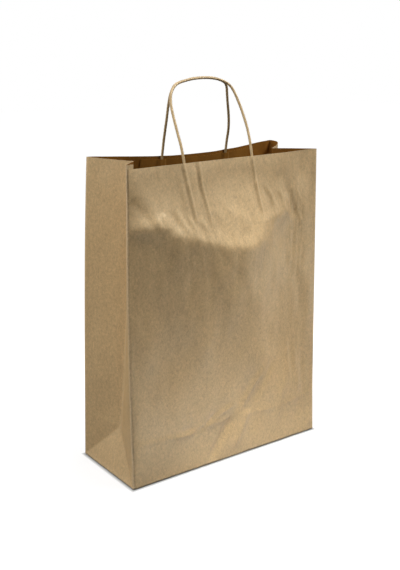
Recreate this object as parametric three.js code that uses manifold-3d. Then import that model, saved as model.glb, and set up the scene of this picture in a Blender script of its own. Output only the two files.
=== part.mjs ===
// A block-bottom paper carrier bag with two twisted paper cord handles.
// Millimetres, +Z up. The origin is the middle of the bottom, on the surface that the bag stands on.
// The front panel faces -Y, and the back panel faces +Y.
import * as THREE from 'three';
import { mergeVertices } from 'three/addons/utils/BufferGeometryUtils.js';
import Module from 'manifold-3d';

const wasm = await Module();
wasm.setup();

// The sheet
const BAG_WIDTH = 320;
const BAG_DEPTH = 130;
const BAG_HEIGHT = 423;
const PAPER = 0.15;
const SEAM_SETBACK = 3; // from the front left fold to the cut edge of the front panel
const SEAM_LAP = 11; // from the front left fold to the end of the glued lap inside
const SEAM_TAPER = 30; // where the front panel lies back at the level of the rest
const BOTTOM_OVERLAP = 30; // of the two long bottom flaps
const END_FLAP = 80; // of the end flaps, seen inside on the bottom

// How far each fold leans in at the mouth, from the base corner below it: along X, along Y
const FRONT_LEFT_IN = [4, 10];
const FRONT_RIGHT_IN = [1, 14];
const BACK_RIGHT_IN = [-2.5, 10];
const BACK_LEFT_IN = [6.5, 19];
const BOTTOM_TUCK = 3.6; // the folds lean in by this at the top of the bottom triangles
const LEAN_POWER = 0.9;

// Where the rim ends above or below the bag's height
const FRONT_RIM_LEFT = -5;
const FRONT_RIM_RIGHT = -1;
const LAP_RIM = 0.5;
const BACK_RIM_RIGHT = 1.5;
const BACK_RIM_LEFT = 0;
const BACK_RIM_DIP = 7;
const BACK_RIM_ROUND = 1.2; // power that rounds the dip

// How full a panel is across its width: a power under 1 flattens the middle
const PANEL_ROUND = 0.8;

// The soft belly of the front panel: its crest is a wide U below the handle
const BELLY = 21;
const BELLY_MIDDLE = -10; // X of the fullest place across the panel
const BELLY_RIGHT_END = 130; // X where it has died out, short of the right fold
const BELLY_ROUND_RIGHT = 1.3;
const BELLY_RISE = 1.8; // power of the swelling below the crest
const BELLY_FALL = 0.65; // power of the leaning back above it
const CREST_CENTRE = 18; // X of the lowest place of the crest
const CREST_LOW = 0.72; // its height there, as a share of the bag's height
const CREST_REACH_LEFT = 130;
const CREST_REACH_RIGHT = 92;
const CREST_RISE_LEFT = 0.12; // how far it rises towards each side, as a share of the height
const CREST_RISE_RIGHT = 0.14;
const CREST_ROUND = 1.6;
const CREST_LEVELLING = 0.35;
const CREST_FARTHEST = 1.2; // in reaches, where the crest is level

// The back panel
const BACK_BELLY = 6;
const BACK_BOW = 18; // inwards at the rim
const BACK_BOW_FROM = 0.6; // share of the height where the bow starts
const BACK_BOW_RISE = 1.3;

// The back half of the right gusset curls outwards near the rim
const CURL = 11;
const CURL_HEIGHT = 130;
const CURL_SKEW = 0.6; // under 1, the curl is fullest near the corner fold
const GUSSET_BOW = 1.5;

// The handles
const CORD_DIAMETER = 3.6;
const HANDLE_SHIFT = 14; // both handles sit this far off the panel's middle
const HANDLE_LEG = 50; // glued below the rim
const GLUE_GAP = 0.3;
const STRIP_LENGTH = 190;
const STRIP_HEIGHT = 55;
const STRIP_DROP = 4; // below the rim
const STRIP_PAPER = 0.2;
const RIDGE_HALF_WIDTH = 7; // of the raised strip over a cord
const RIDGE_FLAT = 0.35; // share of that half width that lies level on the cord

// The facets
const GUSSET_STEPS = 5; // across half a gusset
const ROWS_ABOVE = 24;
const FRONT_STEPS = 20;
const BACK_STEPS = 20;
const STRIP_STEPS = 12;
const CORD_STEPS = 72;
const CORD_SIDES = 8;

const KRAFT_OUTSIDE = 0xc2a477;
const KRAFT_STRIP = 0xb8976a;
const KRAFT_CORD = 0xc9a878;

const HALF_WIDTH = BAG_WIDTH / 2;
const HALF_DEPTH = BAG_DEPTH / 2;
const GUSSET_HALF = HALF_DEPTH; // the folded width of half a gusset
const CORD_RADIUS = CORD_DIAMETER / 2;

const lerp = THREE.MathUtils.lerp;
const smooth = (x, low, high) => THREE.MathUtils.smoothstep(x, low, high);

// One of the four upright folds, at a height v along the sheet.
function fold(side, face, leanIn, v) {
  const low = Math.min(v / GUSSET_HALF, 1);
  const high = Math.max((v - GUSSET_HALF) / (BAG_HEIGHT - GUSSET_HALF), 0);
  const tuck = BOTTOM_TUCK * low + (leanIn[1] - BOTTOM_TUCK) * high ** LEAN_POWER;
  const inX = leanIn[0] * (Math.max(v, 0) / BAG_HEIGHT) ** 3;
  return new THREE.Vector3(side * (HALF_WIDTH - inX), face * (HALF_DEPTH - tuck), v);
}

const frontLeft = (v) => fold(-1, -1, FRONT_LEFT_IN, v);
const frontRight = (v) => fold(1, -1, FRONT_RIGHT_IN, v);
const backRight = (v) => fold(1, 1, BACK_RIGHT_IN, v);
const backLeft = (v) => fold(-1, 1, BACK_LEFT_IN, v);

// The angle by which the bottom triangle of a gusset leans in, from the tuck of its corner folds.
const TRIANGLE_TILT = Math.acos((1 + (1 - BOTTOM_TUCK / GUSSET_HALF) ** 2) / 2);

// The centre crease of a gusset. Half a gusset keeps its width, so the crease moves in as its
// two corner folds come closer.
function gussetCrease(near, far, side) {
  const chord = new THREE.Vector3().subVectors(far, near);
  const half = Math.min(Math.hypot(chord.x, chord.y) / 2, GUSSET_HALF);
  const push = Math.sqrt(GUSSET_HALF ** 2 - half ** 2);
  const drop = near.z > 0 ? Math.min(near.z, GUSSET_HALF) * (1 - Math.cos(TRIANGLE_TILT)) : 0;
  const inward = new THREE.Vector3(-side * Math.abs(chord.y), side * chord.x * Math.sign(chord.y), 0);
  inward.normalize().multiplyScalar(push);
  return near.clone().add(far).multiplyScalar(0.5).add(inward).setZ(near.z - drop);
}

// The height of the belly's crest at x, a wide U.
function crestHeight(x) {
  const isRight = x > CREST_CENTRE;
  const reach = isRight ? CREST_REACH_RIGHT : CREST_REACH_LEFT;
  const away = Math.min(Math.abs(x - CREST_CENTRE) / reach, CREST_FARTHEST);
  const share = isRight ? away ** 2 : away ** CREST_ROUND / (1 + CREST_LEVELLING * away ** 2);
  return BAG_HEIGHT * (CREST_LOW + (isRight ? CREST_RISE_RIGHT : CREST_RISE_LEFT) * share);
}

function bellyOut(x, v) {
  const isRight = x > BELLY_MIDDLE;
  const reach = isRight ? BELLY_RIGHT_END - BELLY_MIDDLE : HALF_WIDTH + BELLY_MIDDLE;
  const away = Math.min(Math.abs(x - BELLY_MIDDLE) / reach, 1);
  const round = isRight ? BELLY_ROUND_RIGHT : PANEL_ROUND;
  const across = Math.cos(Math.PI / 2 * away) ** round;
  const crest = crestHeight(x);
  const rise = Math.max(v, 0) / crest;
  const fall = (v - crest) / (BAG_HEIGHT - crest);
  const share = v < crest ? rise ** BELLY_RISE : 1 - Math.min(fall, 1) ** BELLY_FALL;
  return BELLY * across * share;
}

function backOut(u, v) {
  const across = Math.sin(Math.PI * u) ** PANEL_ROUND;
  const bow = BACK_BOW * smooth(v / BAG_HEIGHT, BACK_BOW_FROM, 1) ** BACK_BOW_RISE;
  const belly = BACK_BELLY * Math.sin(Math.PI * THREE.MathUtils.clamp(v / BAG_HEIGHT, 0, 1)) ** 2;
  return across * (belly - bow);
}

// A point of the front panel. u runs from the left fold to the right one.
function frontPoint(u, v) {
  const p = frontLeft(v).lerp(frontRight(v), u);
  p.y -= bellyOut(p.x, v);
  return p;
}

// A point of the back panel. u runs from the right fold to the left one.
function backPoint(u, v) {
  const p = backRight(v).lerp(backLeft(v), u);
  p.y += backOut(u, v);
  return p;
}

// A point of a gusset, at the distance a along the sheet from its first fold.
function gussetPoint(first, second, side, a, v) {
  const start = first(v);
  const end = second(v);
  const width = 2 * GUSSET_HALF;
  if (v < GUSSET_HALF) {
    const lean = new THREE.Vector3(
      side * (HALF_WIDTH - v * Math.sin(TRIANGLE_TILT)), 0, v * Math.cos(TRIANGLE_TILT));
    const facing = Math.sign(end.y - start.y);
    const edge = (distance) => lean.clone().setY(facing * (distance - GUSSET_HALF));
    if (a <= v) return v > 0 ? start.lerp(edge(v), a / v) : start;
    if (a >= width - v) return v > 0 ? end.lerp(edge(width - v), (width - a) / v) : end;
    return edge(a);
  }
  const crease = gussetCrease(start, end, side);
  const isFirst = a <= GUSSET_HALF;
  const share = isFirst ? a / GUSSET_HALF : (width - a) / GUSSET_HALF;
  const corner = isFirst ? start : end;
  const p = corner.clone().lerp(crease, share);
  const along = crease.clone().sub(corner).setZ(0).normalize();
  const outward = new THREE.Vector3(Math.abs(along.y), -along.x * Math.sign(along.y), 0);
  if (side < 0) outward.set(-Math.abs(along.y), along.x * Math.sign(along.y), 0);
  const top = smooth(v, BAG_HEIGHT - CURL_HEIGHT, BAG_HEIGHT);
  const curls = side > 0 && !isFirst;
  const plain = GUSSET_BOW * Math.sin(Math.PI * share);
  const curl = CURL * Math.sin(Math.PI * share ** CURL_SKEW);
  const bow = curls ? lerp(plain, curl, top) : plain;
  return p.addScaledVector(outward, bow * smooth(v, GUSSET_HALF, 2 * GUSSET_HALF));
}

// How far the rim of each broad panel ends above the bag's height.
function frontRim(u) {
  return lerp(FRONT_RIM_LEFT, FRONT_RIM_RIGHT, u);
}

function backRim(u) {
  return lerp(BACK_RIM_RIGHT, BACK_RIM_LEFT, u)
    - BACK_RIM_DIP * Math.sin(Math.PI * u) ** BACK_RIM_ROUND;
}

// The columns of the sheet, once round the bag: where each stands and how high its rim is.
function sheetColumns() {
  const columns = [];
  const add = (rim, place, raise = 0) => columns.push({ rim: BAG_HEIGHT + rim, place, raise });
  const atFront = (u) => (v) => frontPoint(u, v);
  const seam = SEAM_SETBACK / BAG_WIDTH;
  add(LAP_RIM, atFront(0));
  add(LAP_RIM, atFront(seam));
  add(FRONT_RIM_LEFT, atFront(seam + PAPER / BAG_WIDTH), PAPER);
  const lapEnd = SEAM_LAP / BAG_WIDTH;
  const taperEnd = SEAM_TAPER / BAG_WIDTH;
  add(frontRim(lapEnd), atFront(lapEnd), PAPER);
  add(frontRim(taperEnd), atFront(taperEnd));
  for (let i = 1; i < FRONT_STEPS; i++) {
    const u = lerp(taperEnd, 1, i / (FRONT_STEPS - 1));
    if (u < 1) add(frontRim(u), atFront(u));
  }
  const gusset = (first, second, side, rimStart, rimEnd) => {
    const steps = 2 * GUSSET_STEPS;
    for (let i = 0; i < steps; i++) {
      const a = (i / steps) * 2 * GUSSET_HALF;
      add(lerp(rimStart, rimEnd, i / steps), (v) => gussetPoint(first, second, side, a, v));
    }
  };
  gusset(frontRight, backRight, 1, FRONT_RIM_RIGHT, BACK_RIM_RIGHT);
  for (let i = 0; i < BACK_STEPS; i++) {
    const u = i / BACK_STEPS;
    add(backRim(u), (v) => backPoint(u, v));
  }
  gusset(backLeft, frontLeft, -1, BACK_RIM_LEFT, LAP_RIM);
  return columns;
}

// The heights of the rows: evenly up the bottom triangles, then evenly to the rim.
function rowHeight(j, rim) {
  if (j <= GUSSET_STEPS) return (GUSSET_HALF * j) / GUSSET_STEPS;
  return lerp(GUSSET_HALF, rim, (j - GUSSET_STEPS) / ROWS_ABOVE);
}

const ROWS = GUSSET_STEPS + ROWS_ABOVE + 1;

// The outward normals of a grid of points, closed round each row where wrap is true.
function gridNormals(grid, wrap) {
  const rows = grid.length;
  const count = grid[0].length;
  return grid.map((row, j) => row.map((p, i) => {
    const left = grid[j][wrap ? (i + count - 1) % count : Math.max(i - 1, 0)];
    const right = grid[j][wrap ? (i + 1) % count : Math.min(i + 1, count - 1)];
    const below = grid[Math.max(j - 1, 0)][i];
    const above = grid[Math.min(j + 1, rows - 1)][i];
    const unit = (a, b) => new THREE.Vector3().subVectors(b, a).normalize();
    const across = left === p || right === p
      ? unit(left, right)
      : unit(left, p).add(unit(p, right)).normalize();
    return across.cross(unit(below, above)).normalize();
  }));
}

// A closed mesh from vertices and triangles, as one solid for joining.
function toSolid(geometry) {
  const bare = geometry.clone();
  bare.deleteAttribute('normal');
  bare.deleteAttribute('uv');
  const merged = mergeVertices(bare, 1e-4);
  return new wasm.Manifold(new wasm.Mesh({
    numProp: 3,
    vertProperties: new Float32Array(merged.attributes.position.array),
    triVerts: new Uint32Array(merged.index.array),
  }));
}

function fromSolid(solid) {
  const mesh = solid.getMesh();
  const geometry = new THREE.BufferGeometry();
  geometry.setAttribute('position', new THREE.BufferAttribute(mesh.vertProperties, 3));
  geometry.setIndex(new THREE.BufferAttribute(mesh.triVerts, 1));
  geometry.computeVertexNormals();
  return geometry;
}

// A skin of two grids of points, an outer and an inner one, closed along their edges.
// The quads listed by flip are cut along their other diagonal.
function shellGeometry(outer, inner, wrap, flip = () => false) {
  const rows = outer.length;
  const count = outer[0].length;
  const positions = [...outer.flat(), ...inner.flat()].flatMap((p) => [p.x, p.y, p.z]);
  const index = [];
  const outerAt = (j, i) => j * count + (i % count);
  const innerAt = (j, i) => rows * count + j * count + (i % count);
  const quad = (a, b, c, d, other) => {
    if (other) index.push(a, b, d, b, c, d);
    else index.push(a, b, c, a, c, d);
  };
  const spans = wrap ? count : count - 1;
  for (let j = 0; j < rows - 1; j++) {
    for (let i = 0; i < spans; i++) {
      const other = flip(j, i);
      quad(outerAt(j, i), outerAt(j, i + 1), outerAt(j + 1, i + 1), outerAt(j + 1, i), other);
      quad(innerAt(j, i + 1), innerAt(j, i), innerAt(j + 1, i), innerAt(j + 1, i + 1), !other);
    }
  }
  for (let i = 0; i < spans; i++) {
    quad(innerAt(0, i), innerAt(0, i + 1), outerAt(0, i + 1), outerAt(0, i));
    const top = rows - 1;
    quad(outerAt(top, i), outerAt(top, i + 1), innerAt(top, i + 1), innerAt(top, i));
  }
  if (!wrap) {
    for (let j = 0; j < rows - 1; j++) {
      const end = count - 1;
      quad(innerAt(j, 0), outerAt(j, 0), outerAt(j + 1, 0), innerAt(j + 1, 0));
      quad(outerAt(j, end), innerAt(j, end), innerAt(j + 1, end), outerAt(j + 1, end));
    }
  }
  const geometry = new THREE.BufferGeometry();
  geometry.setAttribute('position', new THREE.Float32BufferAttribute(positions, 3));
  geometry.setIndex(index);
  return geometry;
}

const offsetGrid = (grid, normals, distance) => grid.map((row, j) =>
  row.map((p, i) => p.clone().addScaledVector(normals[j][i], distance(i))));

// The tube: front panel, right gusset, back panel and left gusset, one sheet thick.
function tubeSolid() {
  const columns = sheetColumns();
  const grid = [];
  for (let j = 0; j < ROWS; j++) {
    grid.push(columns.map((column) => {
      const p = column.place(rowHeight(j, column.rim));
      return p.setZ(p.z + PAPER);
    }));
  }
  const normals = gridNormals(grid, true);
  const outer = offsetGrid(grid, normals, (i) => columns[i].raise);
  const inner = offsetGrid(grid, normals, (i) => columns[i].raise - PAPER);
  [outer[0], inner[0]].forEach((row) => row.forEach((p) => p.setZ(PAPER)));
  const frontCount = columns.length - BACK_STEPS - 4 * GUSSET_STEPS;
  const firstRight = frontCount + GUSSET_STEPS;
  const firstLeft = frontCount + 2 * GUSSET_STEPS + BACK_STEPS + GUSSET_STEPS;
  const leans = (i) => (i >= firstRight && i < firstRight + GUSSET_STEPS) || i >= firstLeft;
  return toSolid(shellGeometry(outer, inner, true, (j, i) => j < GUSSET_STEPS && leans(i)));
}

// A strip of paper laid inside a panel, from the panel's own surface moved inwards.
function panelStrip(place, us, vs, depths, thickness) {
  const grid = vs.map((v) => us.map((u) => place(u, v(u)).add(new THREE.Vector3(0, 0, PAPER))));
  const normals = gridNormals(grid, false);
  const outer = offsetGrid(grid, normals, (i) => -depths[i]);
  const inner = offsetGrid(grid, normals, (i) => -depths[i] - thickness);
  return shellGeometry(outer, inner, false);
}

// The lap of the left gusset, glued inside the left end of the front panel.
function lapSolid() {
  const us = [SEAM_SETBACK / 2, SEAM_SETBACK, SEAM_LAP].map((x) => x / BAG_WIDTH);
  const rim = BAG_HEIGHT + LAP_RIM;
  const vs = [];
  for (let j = 0; j < ROWS; j++) vs.push(() => Math.max(rowHeight(j, rim), PAPER));
  return toSolid(panelStrip(frontPoint, us, vs, us.map(() => PAPER / 3), PAPER));
}

// A flat plate of the bottom, from an outline and its lowest and highest levels.
function plateSolid(outline, low, high) {
  const shape = new THREE.Shape(outline.map(([x, y]) => new THREE.Vector2(x, y)));
  const plate = new THREE.ExtrudeGeometry(shape, { depth: high - low, bevelEnabled: false });
  plate.translate(0, 0, low);
  return toSolid(plate);
}

// A long bottom flap, with its ends cut by the 45 degree tucks. face is -1 from the front fold.
function longFlap(face, low, high) {
  const inset = PAPER / 2;
  const depth = HALF_DEPTH + BOTTOM_OVERLAP / 2;
  const rootX = HALF_WIDTH - inset;
  const rootY = face * (HALF_DEPTH - inset);
  const endX = Math.max(HALF_WIDTH - depth, BOTTOM_OVERLAP);
  const endY = face * (HALF_DEPTH - depth);
  const outline = [[-rootX, rootY], [rootX, rootY], [endX, endY], [-endX, endY]];
  return plateSolid(outline, low, high);
}

function bagGeometry() {
  const edgeX = HALF_WIDTH - PAPER / 2;
  const edgeY = HALF_DEPTH - PAPER / 2;
  const box = (x0, x1) => [[x0, -edgeY], [x1, -edgeY], [x1, edgeY], [x0, edgeY]];
  const inside = HALF_WIDTH - END_FLAP;
  let bag = tubeSolid();
  const pieces = [
    lapSolid(),
    plateSolid(box(-edgeX, edgeX), 2 * PAPER, 3 * PAPER),
    plateSolid(box(-edgeX, -inside), 2.5 * PAPER, 4 * PAPER),
    plateSolid(box(inside, edgeX), 2.5 * PAPER, 4 * PAPER),
    longFlap(-1, PAPER, 2.5 * PAPER),
    longFlap(1, 0, 2.5 * PAPER),
  ];
  pieces.forEach((piece) => { bag = bag.add(piece); });
  return fromSolid(bag);
}

// The two broad panels, as the handles and their strips need them.
const PANELS = {
  front: { place: frontPoint, face: -1, rim: (u) => BAG_HEIGHT + frontRim(u) },
  back: { place: backPoint, face: 1, rim: (u) => BAG_HEIGHT + backRim(u) },
};
const STRIP_MIDDLE = 0.5 - HANDLE_SHIFT / BAG_WIDTH; // share of the panel's width
const LEG_SHARES = [1, 0.75, 0.5, 0.25, 0.06]; // of the leg's length, measured below the rim
const RIDGE_SHARES = [-1, -0.6, -0.3, 0, 0.3, 0.6, 1];
const STRIP_ROWS = 5;

// The free part of each handle, by eye: X, and the height above the bag's height. The cord
// leaves the rim at the first point and goes back in at the last.
const FRONT_ROUTE = [
  [-69, 0], [-68.6, 14], [-68, 30], [-67.4, 45], [-66.4, 60], [-64.4, 70], [-60, 79.5],
  [-52, 87.5], [-43.5, 91.6], [-31, 94.3], [-17, 96.3], [0, 97], [16, 95.6], [29, 92],
  [37.5, 86], [41.5, 76.5], [44, 60], [44.8, 44], [44.5, 31], [42.5, 16], [40, 0],
];
const BACK_ROUTE = [
  [66, 0], [65.2, 10], [63.5, 24], [60.2, 37], [56, 49], [50, 64], [45.5, 76], [42, 85],
  [35.5, 91], [20, 95.6], [4, 97], [-14, 96.4], [-27, 94], [-38, 91.2], [-44.5, 87],
  [-47.6, 77], [-48, 67], [-47.4, 55], [-46.6, 42], [-46, 28], [-45.3, 14], [-45, 0],
];
const ARCH_RISE = 97;

// A leg's centre line inside the panel, from its glued end up to the rim.
function legPoints(panel, x) {
  const left = panel.place(0, BAG_HEIGHT).x;
  const right = panel.place(1, BAG_HEIGHT).x;
  const u = (x - left) / (right - left);
  const depth = PAPER + GLUE_GAP + STRIP_PAPER + GLUE_GAP + CORD_RADIUS;
  const rim = panel.rim(u);
  return LEG_SHARES.map((share) => {
    const p = panel.place(u, rim - HANDLE_LEG * share);
    return new THREE.Vector3(p.x, p.y - panel.face * depth, p.z + PAPER);
  });
}

// The whole route of a handle: up one leg, over the arch and down the other.
function handleRoute(panel, route) {
  const first = legPoints(panel, route[0][0]);
  const last = legPoints(panel, route[route.length - 1][0]);
  const topY = panel.face * (CORD_RADIUS + GLUE_GAP / 2);
  const start = first[first.length - 1].y;
  const end = last[last.length - 1].y;
  const arch = route.map(([x, up], i) => {
    const share = i / (route.length - 1);
    const foot = lerp(start, end, share);
    return new THREE.Vector3(x, lerp(foot, topY, up / ARCH_RISE), BAG_HEIGHT + up);
  });
  return [...first, ...arch.slice(1, -1), ...last.reverse()];
}

function cordGeometry(points) {
  const curve = new THREE.CatmullRomCurve3(points);
  const ring = new THREE.Shape();
  for (let k = 0; k < CORD_SIDES; k++) {
    const angle = (2 * Math.PI * k) / CORD_SIDES;
    const [x, y] = [CORD_RADIUS * Math.cos(angle), CORD_RADIUS * Math.sin(angle)];
    if (k === 0) ring.moveTo(x, y);
    else ring.lineTo(x, y);
  }
  ring.closePath();
  return new THREE.ExtrudeGeometry(ring, { steps: CORD_STEPS, extrudePath: curve });
}

// The strips that hold a handle: a flat one on the panel, and one over the cord's legs.
function stripGeometry(panel, route, covers) {
  const legs = [route[0][0], route[route.length - 1][0]].sort((a, b) => a - b);
  const left = panel.place(0, BAG_HEIGHT).x;
  const right = panel.place(1, BAG_HEIGHT).x;
  const middle = lerp(left, right, STRIP_MIDDLE);
  const xs = [];
  for (let k = 0; k <= STRIP_STEPS; k++) xs.push(middle + STRIP_LENGTH * (k / STRIP_STEPS - 0.5));
  legs.forEach((x) => RIDGE_SHARES.forEach((share) => xs.push(x + share * RIDGE_HALF_WIDTH)));
  xs.sort((a, b) => (a - b) * Math.sign(right - left));
  const us = xs.map((x) => (x - left) / (right - left));
  const flat = PAPER + GLUE_GAP;
  const cover = flat + STRIP_PAPER + GLUE_GAP;
  const depths = xs.map((x) => {
    if (!covers) return flat;
    const near = Math.min(...legs.map((leg) => Math.abs(x - leg))) / RIDGE_HALF_WIDTH;
    return cover + smooth(1 - near, 0, 1 - RIDGE_FLAT) * (CORD_DIAMETER + GLUE_GAP);
  });
  const vs = [];
  for (let row = STRIP_ROWS; row >= 0; row--) {
    vs.push((u) => panel.rim(u) - STRIP_DROP - (STRIP_HEIGHT * row) / STRIP_ROWS);
  }
  return panelStrip(panel.place, us, vs, depths, STRIP_PAPER);
}

function piece(name, geometry, color, roughness) {
  const material = new THREE.MeshStandardMaterial({ color, roughness, metalness: 0 });
  const mesh = new THREE.Mesh(geometry, material);
  mesh.name = name;
  return mesh;
}

const bag = new THREE.Group();
bag.add(piece('bag_body', bagGeometry(), KRAFT_OUTSIDE, 0.7));
[['front', PANELS.front, FRONT_ROUTE], ['back', PANELS.back, BACK_ROUTE]].forEach(
  ([name, panel, route]) => {
    bag.add(piece(`${name}_handle_cord`, cordGeometry(handleRoute(panel, route)), KRAFT_CORD, 0.8));
    bag.add(piece(`${name}_base_strip`, stripGeometry(panel, route, false), KRAFT_STRIP, 0.8));
    bag.add(piece(`${name}_cover_strip`, stripGeometry(panel, route, true), KRAFT_STRIP, 0.8));
  });

export default bag;
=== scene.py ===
# %% [markdown]
# A kraft paper carrier bag
#
# The bag is one sheet of paper, folded into a tube with a flat bottom, and two cords of
# twisted paper that are glued inside it under strips. This lesson folds the sheet the way
# the bag machine does: a flat grid whose lines lie on the fold lines is moved into place,
# and small creases are pressed into it. All sizes are in millimetres, apart from those of
# the camera, the floor and the lamps, which are in metres.

# %% Load the frame
import math

import bmesh
import bpy
import numpy as np
from mathutils import Matrix, Vector


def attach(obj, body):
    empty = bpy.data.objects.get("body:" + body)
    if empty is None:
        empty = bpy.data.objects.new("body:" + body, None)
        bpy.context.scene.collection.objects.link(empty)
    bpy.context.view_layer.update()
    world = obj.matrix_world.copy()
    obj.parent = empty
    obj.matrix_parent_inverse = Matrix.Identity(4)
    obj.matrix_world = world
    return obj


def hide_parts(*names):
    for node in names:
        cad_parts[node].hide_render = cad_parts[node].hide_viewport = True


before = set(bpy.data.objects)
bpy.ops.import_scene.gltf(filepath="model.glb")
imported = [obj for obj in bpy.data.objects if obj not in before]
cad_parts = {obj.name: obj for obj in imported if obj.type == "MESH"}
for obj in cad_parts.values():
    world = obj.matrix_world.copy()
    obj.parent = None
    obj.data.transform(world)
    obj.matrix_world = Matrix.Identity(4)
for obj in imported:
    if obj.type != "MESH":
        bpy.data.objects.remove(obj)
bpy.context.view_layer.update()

scene = bpy.context.scene
MM = 0.001

# %% [markdown]
# The camera stands in front of the left front fold, a little above the rim, and looks down
# slightly. Its place was worked out from the corners of the bag: a long lens at about
# 1.2 m keeps the upright folds nearly parallel.

# %% The camera
AZIMUTH = math.radians(36.35)
ELEVATION = math.radians(15.61)
DISTANCE = 1.198
TARGET = Vector((-0.0056, 0.0, 0.2391))
ROLL = math.radians(0.20)
FRAME_HEIGHT = 570  # pixels
FOCAL_PIXELS = 860
SENSOR = 36.0  # millimetres

toward = Vector((-math.sin(AZIMUTH) * math.cos(ELEVATION),
                 -math.cos(AZIMUTH) * math.cos(ELEVATION), math.sin(ELEVATION)))
flat_right = (-toward).cross(Vector((0, 0, 1))).normalized()
flat_up = flat_right.cross(-toward)
right = math.cos(ROLL) * flat_right + math.sin(ROLL) * flat_up
up = -math.sin(ROLL) * flat_right + math.cos(ROLL) * flat_up

camera_data = bpy.data.cameras.new("camera")
camera_data.sensor_width = SENSOR
camera_data.lens = FOCAL_PIXELS / FRAME_HEIGHT * SENSOR
camera_data.clip_start = 0.05
camera = bpy.data.objects.new("camera", camera_data)
axes = Matrix((right, up, toward)).transposed().to_4x4()
camera.matrix_world = Matrix.Translation(TARGET + toward * DISTANCE) @ axes
scene.collection.objects.link(camera)
scene.camera = camera
print("camera at", [round(c, 3) for c in camera.matrix_world.translation])

# %% [markdown]
# The sizes of the sheet are those of the solid model, in millimetres. Half a gusset keeps
# its width when the two folds beside it come closer, so its centre crease moves in: that
# one relation gives the tucked side its shape.

# %% Sizes of the sheet
WIDTH, DEPTH, HEIGHT, PAPER = 320.0, 130.0, 423.0, 0.15
HALF_WIDTH, HALF_DEPTH = WIDTH / 2, DEPTH / 2
GUSSET = HALF_DEPTH
SEAM_SETBACK, SEAM_LAP, SEAM_TAPER = 3.0, 11.0, 30.0
BOTTOM_OVERLAP, END_FLAP = 30.0, 80.0
FRONT_LEFT_IN, FRONT_RIGHT_IN = (4.0, 10.0), (1.0, 14.0)
BACK_RIGHT_IN, BACK_LEFT_IN = (-2.5, 10.0), (6.5, 19.0)
BOTTOM_TUCK, LEAN_POWER = 3.6, 0.9
FRONT_RIM_LEFT, FRONT_RIM_RIGHT, LAP_RIM = -5.0, -1.0, 0.5
BACK_RIM_RIGHT, BACK_RIM_LEFT, BACK_RIM_DIP, BACK_RIM_ROUND = 1.5, 0.0, 7.0, 1.2
PANEL_ROUND = 0.8
BELLY, BELLY_MIDDLE, BELLY_RIGHT_END, BELLY_ROUND_RIGHT = 21.0, -10.0, 130.0, 1.3
BELLY_RISE, BELLY_FALL = 1.8, 0.65
CREST_CENTRE, CREST_REACH_LEFT, CREST_REACH_RIGHT = 18.0, 130.0, 92.0
CREST_LOW, CREST_RISE_LEFT, CREST_RISE_RIGHT = 0.72, 0.12, 0.14
CREST_ROUND, CREST_LEVELLING, CREST_FARTHEST = 1.6, 0.35, 1.2
BACK_BELLY, BACK_BOW, BACK_BOW_FROM, BACK_BOW_RISE = 6.0, 18.0, 0.6, 1.3
CURL, CURL_HEIGHT, CURL_SKEW, GUSSET_BOW = 11.0, 130.0, 0.6, 1.5
TILT = math.acos((1 + (1 - BOTTOM_TUCK / GUSSET) ** 2) / 2)


def smooth(x, low, high):
    t = np.clip((x - low) / (high - low), 0, 1)
    return t * t * (3 - 2 * t)


def point(x, y, z):
    return np.stack(np.broadcast_arrays(x, y, z), axis=-1).astype(float)


# %% [markdown]
# Paper is never quite smooth. These functions give soft waves and fine folds, the same
# ones on every run.

# %% Soft noise
def lattice(seed, count):
    return np.random.default_rng(seed).uniform(-1, 1, (count, count))


def value_noise(x, y, seed, count=64):
    """Smooth noise on a repeating lattice, from -1 to 1."""
    table = lattice(seed, count)
    xi, yi = np.floor(x).astype(int), np.floor(y).astype(int)
    fx, fy = x - xi, y - yi
    fx, fy = fx * fx * (3 - 2 * fx), fy * fy * (3 - 2 * fy)
    def at(i, j):
        return table[(xi + i) % count, (yi + j) % count]
    low = at(0, 0) * (1 - fx) + at(1, 0) * fx
    high = at(0, 1) * (1 - fx) + at(1, 1) * fx
    return low * (1 - fy) + high * fy


def wrinkle(x, z, seed, across, along, slant=0.0):
    """Ridged noise: narrow folds, `across` mm apart and `along` mm long."""
    s = x + slant * z
    n = value_noise(s / across, z / along, seed)
    m = value_noise(s / across * 2.1 + 7, z / along * 1.7 + 3, seed + 1)
    return (1 - np.abs(n)) ** 3 + 0.5 * (1 - np.abs(m)) ** 3 - 0.55


# %% [markdown]
# The four upright folds. Each leans in from the corner of the base towards the mouth.

# %% The upright folds
def fold_line(side, face, lean_in, v):
    low = np.clip(v / GUSSET, 0, 1)
    high = np.clip((v - GUSSET) / (HEIGHT - GUSSET), 0, None)
    tuck = BOTTOM_TUCK * low + (lean_in[1] - BOTTOM_TUCK) * high ** LEAN_POWER
    in_x = lean_in[0] * (np.clip(v, 0, None) / HEIGHT) ** 3
    return point(side * (HALF_WIDTH - in_x), face * (HALF_DEPTH - tuck), v)


def front_left(v):
    return fold_line(-1, -1, FRONT_LEFT_IN, v)


def front_right(v):
    return fold_line(1, -1, FRONT_RIGHT_IN, v)


def back_right(v):
    return fold_line(1, 1, BACK_RIGHT_IN, v)


def back_left(v):
    return fold_line(-1, 1, BACK_LEFT_IN, v)


# %% [markdown]
# The front panel has a soft belly. Its crest is a wide U below the handle: above it the
# paper leans back with the cord's legs, and below it the paper hangs in slightly.

# %% The two broad panels
def crest_height(x):
    left = np.clip((CREST_CENTRE - x) / CREST_REACH_LEFT, 0, CREST_FARTHEST)
    right = np.clip((x - CREST_CENTRE) / CREST_REACH_RIGHT, 0, CREST_FARTHEST)
    share = CREST_RISE_LEFT * left ** CREST_ROUND / (1 + CREST_LEVELLING * left ** 2)
    scallop = 4 * value_noise(x / 17, x / 60, 15) + 3 * value_noise(x / 8 + 9, x / 50, 16)
    return HEIGHT * (CREST_LOW + share + CREST_RISE_RIGHT * right ** 2) + scallop


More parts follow.
